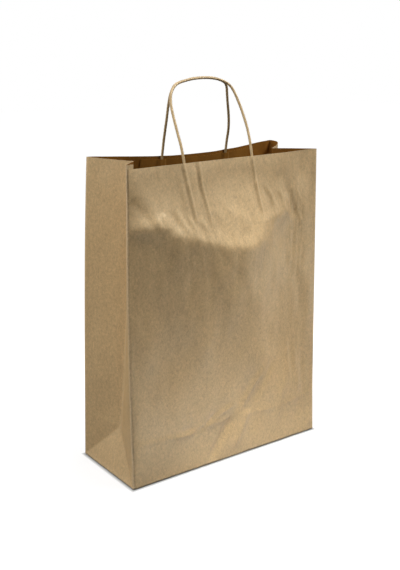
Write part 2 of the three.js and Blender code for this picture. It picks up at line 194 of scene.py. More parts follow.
def sharp_belly(x, v):
    left_reach, right_reach = HALF_WIDTH + BELLY_MIDDLE, BELLY_RIGHT_END - BELLY_MIDDLE
    away = np.where(x < BELLY_MIDDLE, (BELLY_MIDDLE - x) / left_reach,
                    (x - BELLY_MIDDLE) / right_reach)
    roundness = np.where(x < BELLY_MIDDLE, PANEL_ROUND, BELLY_ROUND_RIGHT)
    across = np.cos(np.pi / 2 * np.clip(away, 0, 1)) ** roundness
    crest = crest_height(x)
    rise = np.clip(v, 0, None) / crest
    fall = np.clip((v - crest) / (HEIGHT - crest), 0, 1)
    share = np.where(v < crest, np.minimum(rise, 1) ** BELLY_RISE, 1 - fall ** BELLY_FALL)
    return BELLY * across * share


def belly_out(x, v):
    """The crest is rounded over about a centimetre, as heavy paper bends."""
    steps = ((-9, 0.1), (-5, 0.2), (0, 0.4), (5, 0.2), (9, 0.1))
    blurred = sum(share * sharp_belly(x, v + step) for step, share in steps)
    near_rim = smooth(v, HEIGHT - 30, HEIGHT - 12)
    return blurred * (1 - near_rim) + sharp_belly(x, v) * near_rim


def back_out(u, v):
    across = np.sin(np.pi * np.clip(u, 0, 1)) ** PANEL_ROUND
    bow = BACK_BOW * smooth(v / HEIGHT, BACK_BOW_FROM, 1) ** BACK_BOW_RISE
    belly = BACK_BELLY * np.sin(np.pi * np.clip(v / HEIGHT, 0, 1)) ** 2
    return across * (belly - bow)


def front_point(u, v):
    a, b = front_left(v), front_right(v)
    p = a + (b - a) * u[..., None]
    p[..., 1] -= belly_out(p[..., 0], v)
    return p


def back_point(u, v):
    a, b = back_right(v), back_left(v)
    p = a + (b - a) * u[..., None]
    p[..., 1] += back_out(u, v)
    return p


# %% [markdown]
# A gusset is a triangle at the bottom, with a crease at 45 degrees from each base corner,
# and two long halves that meet at the centre crease above it.

# %% The gussets
def crease_line(near, far, side):
    chord = far - near
    half = np.minimum(np.hypot(chord[..., 0], chord[..., 1]) / 2, GUSSET)
    push = np.sqrt(GUSSET ** 2 - half ** 2)
    drop = np.clip(near[..., 2], 0, GUSSET) * (1 - math.cos(TILT))
    inward = point(-side * np.abs(chord[..., 1]),
                   side * chord[..., 0] * np.sign(chord[..., 1]), 0)
    inward /= np.linalg.norm(inward, axis=-1, keepdims=True)
    middle = (near + far) / 2 + inward * push[..., None]
    middle[..., 2] = near[..., 2] - drop
    return middle


def gusset_point(first, second, side, a, v):
    start, end = first(v), second(v)
    width = 2 * GUSSET
    facing = np.sign(end[..., 1] - start[..., 1])

    def edge(distance):
        return point(side * (HALF_WIDTH - v * math.sin(TILT)),
                     facing * (distance - GUSSET), v * math.cos(TILT))

    safe = np.maximum(v, 1e-6)
    near_part = start + (edge(v) - start) * np.clip(a / safe, 0, 1)[..., None]
    far_part = end + (edge(width - v) - end) * np.clip((width - a) / safe, 0, 1)[..., None]
    low = np.where((a <= v)[..., None], near_part,
                   np.where((a >= width - v)[..., None], far_part, edge(a)))

    crease = crease_line(start, end, side)
    is_first = a <= GUSSET
    share = np.where(is_first, a, width - a) / GUSSET
    corner = np.where(is_first[..., None], start, end)
    along = crease - corner
    along[..., 2] = 0
    along /= np.linalg.norm(along, axis=-1, keepdims=True)
    turn = along[..., 0] * np.sign(along[..., 1])
    outward = point(side * np.abs(along[..., 1]), -side * turn, 0)
    top = smooth(v, HEIGHT - CURL_HEIGHT, HEIGHT)
    plain_bow = GUSSET_BOW * np.sin(np.pi * share)
    curl_bow = plain_bow * (1 - top) + CURL * top * np.sin(np.pi * share ** CURL_SKEW)
    bow = np.where(is_first if side > 0 else True, plain_bow, curl_bow)
    bow = bow * smooth(v, GUSSET, 2 * GUSSET)
    high = corner + (crease - corner) * share[..., None] + outward * bow[..., None]
    return np.where((v < GUSSET)[..., None], low, high)


# %% [markdown]
# The sheet as the machine sees it: a strip once round the tube, from the cut edge of the
# front panel to the end of the lap inside it. Its grid lines are about 3 mm apart, and 5 mm
# on the back. They are closer below the handles, where the creases are sharp. Two more
# lines lie 1 mm from each fold, so that a fold is a narrow rounded edge. The lowest row of
# points goes under the bag.

# %% Columns and rows of the sheet
STEP, BACK_STEP, FINE_STEP = 3.25, 5.0, 1.6
FOLD_SIDE = 1.0
UNDER_ROWS, LOW_ROWS, HIGH_ROWS = 1, int(GUSSET / STEP), 118
ROWS = UNDER_ROWS + LOW_ROWS + HIGH_ROWS + 1
FRONT_SPANS = ((SEAM_SETBACK, 80, STEP), (80, 128, FINE_STEP), (128, 190, STEP),
               (190, 294, FINE_STEP), (294, WIDTH, STEP))
BACK_SPANS = ((0, 82, BACK_STEP), (82, 110, FINE_STEP), (110, 190, BACK_STEP),
              (190, 220, FINE_STEP), (220, WIDTH, BACK_STEP))


def panel_columns(panel, spans):
    lines = []
    for start, end, step in spans:
        lines += list(np.linspace(start, end, max(int(round((end - start) / step)), 1) + 1))
    first, last = spans[0][0], spans[-1][1]
    lines += [first + FOLD_SIDE, last - FOLD_SIDE]
    if panel in ("right", "left"):
        lines += [GUSSET - FOLD_SIDE, GUSSET + FOLD_SIDE]
    return [(panel, a) for a in sorted(set(np.round(lines, 4))) if a < last]


columns = (panel_columns("front", FRONT_SPANS) + panel_columns("right", ((0, DEPTH, STEP),))
           + panel_columns("back", BACK_SPANS)
           + panel_columns("left", ((0, DEPTH, STEP),))
           + [("lap", 0.0), ("lap", 1.0), ("lap", 4.0), ("lap", SEAM_LAP)])
print("sheet grid", len(columns), "columns", ROWS, "rows")


def rim_height(panel, a):
    if panel == "front":
        rim = FRONT_RIM_LEFT + (FRONT_RIM_RIGHT - FRONT_RIM_LEFT) * a / WIDTH
    elif panel == "right":
        rim = FRONT_RIM_RIGHT + (BACK_RIM_RIGHT - FRONT_RIM_RIGHT) * a / DEPTH
    elif panel == "back":
        u = a / WIDTH
        rim = BACK_RIM_RIGHT + (BACK_RIM_LEFT - BACK_RIM_RIGHT) * u
        rim -= BACK_RIM_DIP * math.sin(math.pi * u) ** BACK_RIM_ROUND
    elif panel == "left":
        rim = BACK_RIM_LEFT + (LAP_RIM - BACK_RIM_LEFT) * a / DEPTH
    else:
        rim = LAP_RIM
    return HEIGHT + rim


def place_on_bag(panel, a, v):
    a, v = np.broadcast_arrays(np.asarray(a, float), np.asarray(v, float))
    if panel in ("front", "lap"):
        return front_point(a / WIDTH, v)
    if panel == "back":
        return back_point(a / WIDTH, v)
    if panel == "right":
        return gusset_point(front_right, back_right, 1, a, v)
    return gusset_point(back_left, front_left, -1, a, v)


# %% [markdown]
# Creases are pressed in along the paper's normal. A line crease is a narrow ridge or
# valley that fades at both ends. Soft dents are wide bell shapes. Fine wrinkles come from
# noise stretched along the pull of the cords.

# %% Reliefs
def bell(x, width):
    return np.exp(-(x / width) ** 2)


def line_relief(x, z, start, end, width, height):
    """A ridge from start to end on a panel, or a valley where the height is negative."""
    (x0, z0), (x1, z1) = start, end
    dx, dz = x1 - x0, z1 - z0
    length = math.hypot(dx, dz)
    along = ((x - x0) * dx + (z - z0) * dz) / length ** 2
    away = ((x - x0) * dz - (z - z0) * dx) / length
    fade = smooth(along, -0.08, 0.2) * (1 - smooth(along, 0.75, 1.08))
    return height * fade * bell(away, width)


LEG_X_FRONT = (-69.0, 40.0)
LEG_X_BACK = (66.0, -45.0)
# each crease has its start and end on the panel, its half width and its height
FRONT_CREASES = (
    # the cord's glued legs, and the folds that run on from them
    ((-74, 424), (-66, 384), 2.0, 1.5), ((-68, 394), (-59, 342), 2.0, 1.7),
    ((-50, 424), (-45, 378), 1.8, 1.5), ((-46, 388), (-36, 340), 1.9, 1.6),
    ((-55, 424), (-50, 376), 2.4, -0.9), ((-80, 410), (-72, 370), 4.0, 0.5),
    ((37, 424), (44, 376), 1.9, 1.6), ((42, 388), (50, 342), 1.9, 1.6),
    ((28, 410), (36, 362), 3.2, -0.4),
    # slanting folds to the right of the handle
    ((55, 378), (63, 362), 1.8, -0.7), ((62, 380), (83, 342), 2.0, 0.9),
    ((70, 362), (79, 332), 2.0, 0.8), ((84, 374), (96, 350), 2.2, 0.8),
    ((90, 356), (102, 334), 2.2, 0.7), ((97, 346), (111, 324), 3.0, 0.9),
    ((122, 368), (131, 348), 2.0, 0.7), ((123, 340), (132, 318), 2.0, 0.7),
    # the valley where the belly ends on the right
    ((84, 396), (108, 368), 8.0, -0.8), ((103, 374), (120, 326), 6.5, -1.7),
    # puckers along the crest, left of the handle and below it
    ((-200, 342), (-92, 347), 11.0, 1.6), ((36, 330), (106, 342), 10.0, 1.0),
    ((-136, 360), (-119, 338), 4.2, -0.7), ((-150, 380), (-132, 356), 7.0, -0.8),
    ((-112, 362), (-100, 338), 2.8, 0.9), ((-106, 354), (-96, 332), 2.4, -0.6),
    ((-98, 362), (-84, 336), 2.6, -1.0), ((-89, 364), (-76, 336), 2.4, 0.9),
    ((-72, 352), (-60, 332), 2.6, 0.7), ((-54, 348), (-40, 328), 3.0, 0.8),
    ((-30, 352), (-22, 328), 3.0, -0.6), ((-20, 366), (-8, 340), 3.0, -0.25),
    ((-14, 366), (5, 338), 4.6, 0.4), ((12, 350), (20, 326), 4.0, 0.7),
    ((26, 352), (34, 322), 3.0, -0.6),
    # a soft fold at the rim, left of the handle
    ((-112, 424), (-106, 384), 5.0, 0.4),
)
# low down the crease of the block bottom has crumpled in the middle
LOW_CREASES = (
    ((-176, 62), (-88, 56), 2.6, 0.9), ((-93, 56), (-64, 53), 2.8, 1.4),
    ((-84, 63), (-46, 56), 2.6, -1.3), ((-68, 54), (-38, 65), 2.8, 1.5),
    ((-52, 56), (-20, 75), 3.2, -1.2), ((-46, 58), (4, 60), 2.8, 1.2),
    ((-26, 66), (12, 79), 3.4, 1.2), ((2, 60), (92, 54), 2.8, 0.8),
    ((90, 55), (170, 62), 2.8, 0.7), ((8, 62), (-36, 4), 7.0, -2.6),
    ((36, 64), (4, 10), 6.0, 1.5), ((60, 120), (16, 62), 5.0, 1.4),
    ((82, 130), (44, 70), 6.0, -1.1), ((102, 94), (86, 28), 6.0, 1.1),
    ((141, 30), (162, 6), 3.0, 1.4), ((151, 38), (140, 12), 3.2, -1.1),
    ((-70, 92), (-68, 66), 2.8, 0.8), ((120, 146), (130, 58), 4.0, 0.9),
    ((106, 156), (112, 92), 3.2, 0.9), ((134, 124), (143, 48), 4.0, -0.8),
)
BACK_CREASES = (
    ((66, 424), (65, 366), 2.6, 1.3), ((64, 384), (57, 336), 3.0, 0.9),
    ((-45, 424), (-46, 366), 2.6, 1.3), ((-47, 384), (-54, 336), 3.0, 0.9),
    ((20, 405), (8, 350), 3.2, 0.7), ((-10, 400), (-22, 352), 3.2, -0.6),
    ((-80, 390), (-100, 346), 3.2, 0.8), ((92, 388), (80, 342), 3.2, 0.6),
    ((70, 54), (20, 60), 2.0, 0.8), ((40, 58), (-10, 74), 2.4, -0.7),
    ((-150, 14), (-128, 36), 2.4, 0.8), ((10, 60), (40, 10), 7.0, -1.2),
)
FRONT_STRENGTH, LOW_STRENGTH = 1.2, 1.35
# height, place above the crest, reach, seed, width and length of the folds, and slant
GATHERS = ((0.65, 4, 20, 11, 12, 40, 0.45), (0.3, 36, 30, 12, 15, 50, 0.35),
           (0.4, -26, 30, 13, 13, 50, 0.2))
STRIP_STEP = 0.25
RIM_LIFT, HANDLE_DENT = 0.8, 1.1
SEAM_LIFT, LAP_INSIDE = 0.45, -0.15


def creases(x, z, table):
    total = np.zeros_like(x)
    for crease in table:
        total += line_relief(x, z, *crease)
    return total


def panel_waves(x, z, seed):
    """Slow waves of a whole panel, longer upwards than across."""
    wave = 2.6 * value_noise(x / 46 + seed, z / 80, seed)
    wave += 1.1 * value_noise(x / 22, z / 44 + seed, seed + 1)
    wave += 0.28 * value_noise(x / 10, z / 16, seed + 2)
    return wave * smooth(z, 0, 40)


def front_relief(x, z):
    d = FRONT_STRENGTH * creases(x, z, FRONT_CREASES)
    d = d + LOW_STRENGTH * creases(x, z, LOW_CREASES)
    # the strip inside shows as a faint step
    inside_strip = smooth(z, 362, 365) * smooth(x, -111, -108) * (1 - smooth(x, 79, 82))
    d += STRIP_STEP * inside_strip
    # between the crest and the rim the panel is pressed in, and its rim stands up again
    handle_zone = smooth(x, -150, -110) * (1 - smooth(x, 80, 125))
    d += handle_zone * (RIM_LIFT * smooth(z, 392, 423) - HANDLE_DENT * bell(z - 378, 24))
    # gathers at the crest, and longer ones above and below it
    above = z - crest_height(x)
    sides = smooth(x, -158, -120) * (1 - smooth(x, 50, 90))
    for height, offset, reach, *folds in GATHERS:
        d += height * bell(above - offset, reach) * sides * wrinkle(x, z, *folds)
    # upright streaks at the right side
    streaks = smooth(x, 78, 112)
    strong = bell(z - 330, 90) + bell(z - 115, 60)
    d += 0.55 * streaks * strong * wrinkle(x, z, 21, 10, 90, -0.05)
    d += 0.2 * streaks * wrinkle(x, z, 24, 8, 70, 0.04)
    return d + panel_waves(x, z, 31)


def back_relief(x, z):
    d = creases(x, z, BACK_CREASES)
    inside_strip = smooth(z, 355, 358) * smooth(x, -86, -83) * (1 - smooth(x, 105, 108))
    d += STRIP_STEP * inside_strip
    zone = bell(z - 330, 45) * smooth(x, -130, -80) * (1 - smooth(x, 90, 130))
    d += 0.7 * zone * wrinkle(x, z, 41, 15, 70, -0.3)
    d += 0.35 * bell(z - HALF_DEPTH + 4, 1.8)
    return d + panel_waves(x, z, 51)


def gusset_relief(a, z, seed):
    ends = smooth(a, 2, 14) * (1 - smooth(a, DEPTH - 14, DEPTH - 2))
    calm = smooth(np.abs(a - GUSSET), 2, 12)
    d = 0.9 * value_noise(a / 30 + 2, z / 62, seed) * ends * calm
    d += 0.3 * value_noise(a / 13, z / 26, seed + 1) * ends * calm
    d += 0.3 * bell(z - HALF_DEPTH, 1.6) * ends
    return d * smooth(z, 0, 30)


def relief(panel, a, points, v):
    x = points[..., 0]
    if panel == "front":
        edge = smooth(a, 0, 9) * (1 - smooth(a, WIDTH - 12, WIDTH - 1))
        lift = SEAM_LIFT * (1 - smooth(a, SEAM_SETBACK, SEAM_TAPER))
        return front_relief(x, v) * edge * smooth(v, 0, 12) + lift
    if panel == "back":
        edge = smooth(a, 1, 14) * (1 - smooth(a, WIDTH - 14, WIDTH - 1))
        return back_relief(x, v) * edge * smooth(v, 0, 12)
    if panel == "lap":
        return np.full_like(x, LAP_INSIDE)
    return gusset_relief(a, v, 61 if panel == "right" else 71)


# %% [markdown]
# The sheet starts as a flat grid. Each of its points is then carried to its place on the
# folded bag. Nothing is cut or joined, so the paper keeps its true lap at the seam. At the
# foot the paper turns in under the bag, which leaves a thin dark line above the floor; the
# floor's painted contact shadow darkens that line too.

# %% Fold the sheet
FOOT_TURN, FOOT_RISE = 3.0, 1.5


def unit(vectors):
    length = np.linalg.norm(vectors, axis=-1, keepdims=True)
    return vectors / np.maximum(length, 1e-9)


def surface_normals(points):
    across = np.gradient(points, axis=1)
    upward = np.gradient(points, axis=0)
    return unit(np.cross(across, upward))


def folded_points():
    points = np.zeros((ROWS, len(columns), 3))
    depth = np.zeros((ROWS, len(columns)))
    for i, (panel, a) in enumerate(columns):
        rim = rim_height(panel, a)
        low = np.arange(-UNDER_ROWS, LOW_ROWS).clip(0) * STEP
        high = np.linspace(GUSSET, rim, HIGH_ROWS + 1)
        v = np.concatenate([low, high])
        points[:, i] = place_on_bag(panel, a, v)
        depth[:, i] = relief(panel, a, points[:, i], v)
    # each sharp fold becomes a narrow round one
    rounded = points.copy()
    rounded[:, 1:-1] = points[:, 1:-1] * 0.5 + (points[:, :-2] + points[:, 2:]) * 0.25
    for i, (panel, a) in enumerate(columns[:-1]):
        if i and a in (0.0, GUSSET) and panel != "front":
            points[:, i] = rounded[:, i]
    # the foot is a round edge that turns in under the bag
    base = np.array([HALF_WIDTH, HALF_DEPTH])
    points[0, :, :2] *= (base - FOOT_TURN) / base
    normals = surface_normals(points)
    points[1:] += (normals * depth[..., None])[1:]
    points[..., 2] += PAPER
    points[0, :, 2] = PAPER
    points[1, :, 2] = FOOT_RISE
    return points


def sheet_object(points, width_steps, height_steps, uv_name=None):
    """A flat grid of bmesh, each of whose points is carried to its place, in metres."""
    bm = bmesh.new()
    if uv_name:
        bm.loops.layers.uv.new(uv_name)
    bmesh.ops.create_grid(bm, x_segments=width_steps, y_segments=height_steps, size=0.5,
                          calc_uvs=bool(uv_name))
    table = {}
    for vert in bm.verts:
        i = int(round((vert.co.x + 0.5) * width_steps))
        j = int(round((vert.co.y + 0.5) * height_steps))
        vert.co = Vector(points[j, i]) * MM
        table[j, i] = vert
    return bm, table


def finish_mesh(bm, name):
    """A smooth shaded object of the mesh, with crisp cut edges."""
    mesh = bpy.data.meshes.new(name)
    for edge in bm.edges:
        if edge.is_boundary:
            edge.smooth = False
    bm.to_mesh(mesh)
    bm.free()
    mesh.shade_smooth()
    obj = bpy.data.objects.new(name, mesh)
    scene.collection.objects.link(obj)
    return obj


sheet_points = folded_points()
sheet_bm, sheet_table = sheet_object(sheet_points, len(columns) - 1, ROWS - 1)
# the quads on the 45 degree creases are cut along them
diagonals = []
for i, (panel, a) in enumerate(columns):
    if panel in ("right", "left"):
        row = (a if a <= GUSSET else DEPTH - a) / STEP
        if abs(row - round(row)) < 0.01:
            diagonals.append(sheet_table[UNDER_ROWS + int(round(row)), i])
bmesh.ops.connect_verts(sheet_bm, verts=diagonals)
sheet_bm.verts.index_update()
sheet_index = {place: vert.index for place, vert in sheet_table.items()}
bag_sheet = finish_mesh(sheet_bm, "bag_sheet")
print("sheet", len(bag_sheet.data.vertices), "points")

# %% [markdown]
# Two values are painted on the sheet's points for its material: where the folds and the foot
# are worn rougher and carry a painted highlight, and where the paper is finely crumpled.

# %% Paint wear with a painted fold highlight, and crumple
def painted_values():
    wear_and_highlight = np.zeros((ROWS, len(columns)))
    crumple = np.zeros((ROWS, len(columns)))
    for i, (panel, a) in enumerate(columns):
        x, z = sheet_points[:, i, 0], sheet_points[:, i, 2]
        near_fold = bell(a, 1.6) + (bell(a - DEPTH, 1.6) if panel in ("right", "left") else 0)
        if panel in ("right", "left"):
            near_fold += 0.5 * bell(a - GUSSET, 1.6) * smooth(z, 50, 70)
            crumple[:, i] = 0.18
        elif panel == "front":
            near_fold += bell(a - WIDTH, 1.6)
            above = z - crest_height(x)
            crumple[:, i] = 0.2 + 0.5 * bell(above - 12, 42) + 0.2 * smooth(x, 80, 120)
            crumple[:, i] += 0.3 * bell(z - 60, 26)
        else:
            crumple[:, i] = 0.3
        # painted highlight: this value makes the folds and the foot lighter and greyer; it
        # also makes them rougher, as wear does
        wear_and_highlight[:, i] = near_fold + bell(z, 2.0) * 0.7
    return np.clip(wear_and_highlight, 0, 1), np.clip(crumple, 0, 1)


def paint(obj, name, values, table):
    layer = obj.data.attributes.new(name, "FLOAT", "POINT")
    flat_values = np.zeros(len(obj.data.vertices))
    for (j, i), index in table.items():
        flat_values[index] = values[j, i]
    layer.data.foreach_set("value", flat_values)


wear_and_highlight_values, crumple_values = painted_values()
paint(bag_sheet, "wear_and_highlight", wear_and_highlight_values, sheet_index)
paint(bag_sheet, "crumple", crumple_values, sheet_index)
print("mean crumple", round(float(crumple_values.mean()), 2))

# %% [markdown]
# The paper gets its thickness inwards, so the folded surface stays the outer one. The
# inner faces take the second material, darkened with painted shade. The bottom is four flat
# flaps: the two end flaps lie inside, and the two long ones are glued under them with an
# overlap. The flaps reach just past the turned-in foot of the sheet.

# %% Thickness and bottom flaps
SHEET_THICKNESS = 0.2
FLAP_REACH = 0.4
FRONT_FLAP_LAYER, BACK_FLAP_LAYER, END_FLAP_LAYER = (0.15, 0.30), (0.0, 0.14), (0.32, 0.5)


def thicken(obj, thickness, inner_slot=0):
    paper = obj.modifiers.new("paper", "SOLIDIFY")
    paper.thickness = thickness * MM
    paper.offset = -1
    paper.use_even_offset = False
    paper.material_offset = inner_slot
    paper.material_offset_rim = 0


def flap(bm, outline, low, high):
    """A flat closed plate from an outline that runs anticlockwise."""
    corners = [bm.verts.new((x * MM, y * MM, high * MM)) for x, y in outline]
    top = bm.faces.new(corners)
    made = bmesh.ops.extrude_face_region(bm, geom=[top])
    new_verts = [item for item in made["geom"] if isinstance(item, bmesh.types.BMVert)]
    for vert in new_verts:
        vert.co.z = low * MM


thicken(bag_sheet, SHEET_THICKNESS, 1)
flap_bm = bmesh.new()
EDGE_X = HALF_WIDTH - FOOT_TURN + FLAP_REACH
EDGE_Y = HALF_DEPTH - FOOT_TURN + FLAP_REACH
LONG_FLAP = HALF_DEPTH + BOTTOM_OVERLAP / 2
for face_sign, layer in ((-1, FRONT_FLAP_LAYER), (1, BACK_FLAP_LAYER)):
    end_x = HALF_WIDTH - LONG_FLAP
    tip = face_sign * (HALF_DEPTH - LONG_FLAP)
    shape = [(-EDGE_X, face_sign * EDGE_Y), (EDGE_X, face_sign * EDGE_Y), (end_x, tip),
             (-end_x, tip)]
    flap(flap_bm, shape if face_sign < 0 else shape[::-1], *layer)
for end_sign in (-1, 1):
    inner, outer = sorted((end_sign * (HALF_WIDTH - END_FLAP), end_sign * EDGE_X))
    flap(flap_bm, [(inner, -EDGE_Y), (outer, -EDGE_Y), (outer, EDGE_Y), (inner, EDGE_Y)],
         *END_FLAP_LAYER)
bmesh.ops.recalc_face_normals(flap_bm, faces=flap_bm.faces)
bag_bottom = finish_mesh(flap_bm, "bag_bottom")
for polygon in bag_bottom.data.polygons:
    polygon.use_smooth = False
print("bottom flaps", len(bag_bottom.data.polygons), "faces")

# %% [markdown]
# Each handle is one length of twisted paper cord. It goes up inside the panel between two
# glued strips, over the arch, and down again. The arch is not a perfect U: it was bent by
# hand, and it leans. The points are those of the solid model: each has its place across
# the panel and its height above the rim.

# %% Handle routes
CORD_DIAMETER, HANDLE_LEG, GLUE_GAP, STRIP_PAPER = 3.6, 50.0, 0.3, 0.2
CORD_RADIUS = CORD_DIAMETER / 2
ARCH_RISE = 97.0
FRONT_ROUTE = [
    (-69, 0), (-68.6, 14), (-68, 30), (-67.4, 45), (-66.4, 60), (-64.4, 70), (-60, 79.5),
    (-52, 87.5), (-43.5, 91.6), (-31, 94.3), (-17, 96.3), (0, 97), (16, 95.6), (29, 92),
    (37.5, 86), (41.5, 76.5), (44, 60), (44.8, 44), (44.5, 31), (42.5, 16), (40, 0)]
BACK_ROUTE = [
    (66, 0), (65.2, 10), (63.5, 24), (60.2, 37), (56, 49), (50, 64), (45.5, 76), (42, 85),
    (35.5, 91), (20, 95.6), (4, 97), (-14, 96.4), (-27, 94), (-38, 91.2), (-44.5, 87),
    (-47.6, 77), (-48, 67), (-47.4, 55), (-46.6, 42), (-46, 28), (-45.3, 14), (-45, 0)]


def panel_share(place, x):
    left = place(np.array(0.0), np.array(HEIGHT))[..., 0]
    far = place(np.array(1.0), np.array(HEIGHT))[..., 0]
    return (x - left) / (far - left)


def leg_points(panel, place, face, x):
    u = float(panel_share(place, x))
    depth = PAPER + GLUE_GAP + STRIP_PAPER + GLUE_GAP + CORD_RADIUS
    rim = rim_height(panel, u * WIDTH)
    made = []
    for share in (1, 0.75, 0.5, 0.25, 0.06):
        v = np.array(rim - HANDLE_LEG * share)
        p = place(np.array(u), v)
        pressed = float(relief(panel, np.array(u * WIDTH), p, v))
        made.append((p[0], p[1] - face * (depth - pressed), p[2] + PAPER))
    return made


def handle_route(panel, place, face, route):
    first = leg_points(panel, place, face, route[0][0])
    last = leg_points(panel, place, face, route[-1][0])
    top_y = face * (CORD_RADIUS + GLUE_GAP / 2)
    arch = []
    for i, (x, rise) in enumerate(route):
        share = i / (len(route) - 1)
        foot = first[-1][1] * (1 - share) + last[-1][1] * share
        arch.append((x, foot + (top_y - foot) * rise / ARCH_RISE, HEIGHT + rise))
    return np.array(first + arch[1:-1] + last[::-1])


def smooth_route(points, spacing):
    """A Catmull-Rom curve through the points, resampled at an even spacing."""
    padded = np.vstack([2 * points[0] - points[1], points, 2 * points[-1] - points[-2]])
    t = np.linspace(0, 1, 24, endpoint=False)[:, None]
    parts = []
    for k in range(len(points) - 1):
        a, b, c, d = padded[k:k + 4]
        parts.append(0.5 * (2 * b + (c - a) * t + (2 * a - 5 * b + 4 * c - d) * t ** 2
                            + (3 * b - a - 3 * c + d) * t ** 3))
    dense = np.vstack(parts + [points[-1:]])
    run = np.concatenate([[0], np.cumsum(np.linalg.norm(np.diff(dense, axis=0), axis=1))])
    even = np.linspace(0, run[-1], int(run[-1] / spacing) + 1)
    return np.stack([np.interp(even, run, dense[:, k]) for k in range(3)], axis=1), run[-1]


# %% [markdown]
# A cord is a flat grid rolled round its route. The radius follows the twist: each turn of
# the paper leaves a ridge that winds round the cord.

# %% Roll the cords
CORD_SIDES, CORD_SPACING = 24, 0.6
TWIST_LEAD, TWIST_STARTS = 15.0, 3
CORD_CORE, CORD_GROOVE, CORD_WORN = 0.93, 0.08, 0.04


def rolled_cord(name, panel, place, face, route, seed):
    path, length = smooth_route(handle_route(panel, place, face, route), CORD_SPACING)
    for _ in range(6):
        path[1:-1] = path[1:-1] * 0.5 + (path[:-2] + path[2:]) * 0.25
    rings = len(path)
    tangent = unit(np.gradient(path, axis=0))
    side = unit(np.cross(tangent, np.array([0.0, 1.0, 0.0])))
    over = np.cross(side, tangent)
    s = np.arange(rings)[:, None] * length / (rings - 1)
    angle = np.linspace(0, 2 * np.pi, CORD_SIDES + 1)[None, :]
    phase = TWIST_STARTS * (angle + 2 * np.pi * s / TWIST_LEAD)
    phase = phase + 0.8 * value_noise(s / 23 + 0 * angle, 0 * s + seed, seed)
    groove = 0.5 - 0.5 * np.cos(phase)
    worn = value_noise(s / 9 + 0 * angle, np.cos(angle) + 3 + 0 * s, seed + 1)
    radius = CORD_RADIUS * (CORD_CORE + CORD_GROOVE * groove + CORD_WORN * worn)
    points = (path[:, None] + side[:, None] * (np.cos(angle) * radius)[..., None]
              + over[:, None] * (np.sin(angle) * radius)[..., None])
    bm, _ = sheet_object(points, CORD_SIDES, rings - 1, "wrap")
    bmesh.ops.remove_doubles(bm, verts=bm.verts, dist=0.02 * MM)
    open_edges = [edge for edge in bm.edges if edge.is_boundary]
    bmesh.ops.holes_fill(bm, edges=open_edges, sides=0)
    bmesh.ops.recalc_face_normals(bm, faces=bm.faces)
    print(name, "length", round(length), "mm,", rings, "rings")
    return finish_mesh(bm, name)


front_cord = rolled_cord("front_cord", "front", front_point, -1, FRONT_ROUTE, 81)
back_cord = rolled_cord("back_cord", "back", back_point, 1, BACK_ROUTE, 91)

# %% [markdown]
# The strips are flat paper and follow the waves of their panel. The inner one rises over
# the two legs of the cord.

# %% Handle strips
STRIP_LENGTH, STRIP_HEIGHT, STRIP_DROP = 190.0, 55.0, 4.0
RIDGE_HALF_WIDTH, RIDGE_SLOPE = 7.0, 0.65
HANDLE_SHIFT = 14.0
STRIP_COLUMNS, STRIP_ROWS = 96, 19


def strip(name, panel, place, legs, covers):
    left = float(place(np.array(0.0), np.array(HEIGHT))[..., 0])
    far = float(place(np.array(1.0), np.array(HEIGHT))[..., 0])
    middle = left + (far - left) * (0.5 - HANDLE_SHIFT / WIDTH)
    heading = np.sign(far - left)
    xs = middle + heading * np.linspace(-0.5, 0.5, STRIP_COLUMNS) * STRIP_LENGTH
    share = np.linspace(1, 0, STRIP_ROWS)
    u = np.broadcast_to((xs - left) / (far - left), (len(share), len(xs)))
    rim = np.array([rim_height(panel, a * WIDTH) for a in u[0]])
    v = rim[None, :] - STRIP_DROP - STRIP_HEIGHT * share[:, None]
    points = place(u, v)
    depth = np.full(u.shape, PAPER + GLUE_GAP)
    if covers:
        near = np.min([np.abs(xs - leg) for leg in legs], axis=0) / RIDGE_HALF_WIDTH
        over_leg = smooth(1 - near, 0, RIDGE_SLOPE) * (CORD_DIAMETER + GLUE_GAP)
        depth = depth + STRIP_PAPER + GLUE_GAP + over_leg[None, :]
    pressed = relief(panel, u * WIDTH, points, v)
    points -= surface_normals(points) * (depth - pressed)[..., None]
    points[..., 2] += PAPER
    bm, _ = sheet_object(points, len(xs) - 1, len(share) - 1)
    made = finish_mesh(bm, name)
    thicken(made, STRIP_PAPER)
    return made


front_base = strip("front_base", "front", front_point, LEG_X_FRONT, False)
front_cover = strip("front_cover", "front", front_point, LEG_X_FRONT, True)
back_base = strip("back_base", "back", back_point, LEG_X_BACK, False)
back_cover = strip("back_cover", "back", back_point, LEG_X_BACK, True)
print("strips made")

# %% [markdown]
# Kraft paper is unbleached, so its colour comes from the fibres. One node group makes the
# fibres and the soft cloudiness for every piece: it takes a position, a colour and a few
# amounts, and gives a colour, a roughness and a height.

# %% The paper node group
FIBRE_HEIGHT, GRAIN_HEIGHT = 0.02, 0.12
PLAIN_ROUGHNESS, FIBRE_ROUGHNESS, WORN_ROUGHNESS = 0.35, 0.15, 0.1
# how much lighter and greyer the painted highlight makes the folds and the foot
FOLD_HIGHLIGHT_LIGHTER, FOLD_HIGHLIGHT_GREYER = 0.22, 0.15


def calculate(tree, operation, a, b=0.0):
    """A Math node in a tree. Each input is another node's output or a number."""
    node = tree.nodes.new("ShaderNodeMath")
    node.operation = operation
    for slot, value in zip(node.inputs, (a, b)):
        if isinstance(value, (int, float)):
            slot.default_value = value
        else:
            tree.links.new(value, slot)
    return node.outputs[0]


def socket(group, name, kind, way, value=None):
    made = group.interface.new_socket(name=name, in_out=way, socket_type=kind)
    if value is not None:
        made.default_value = value
    return made


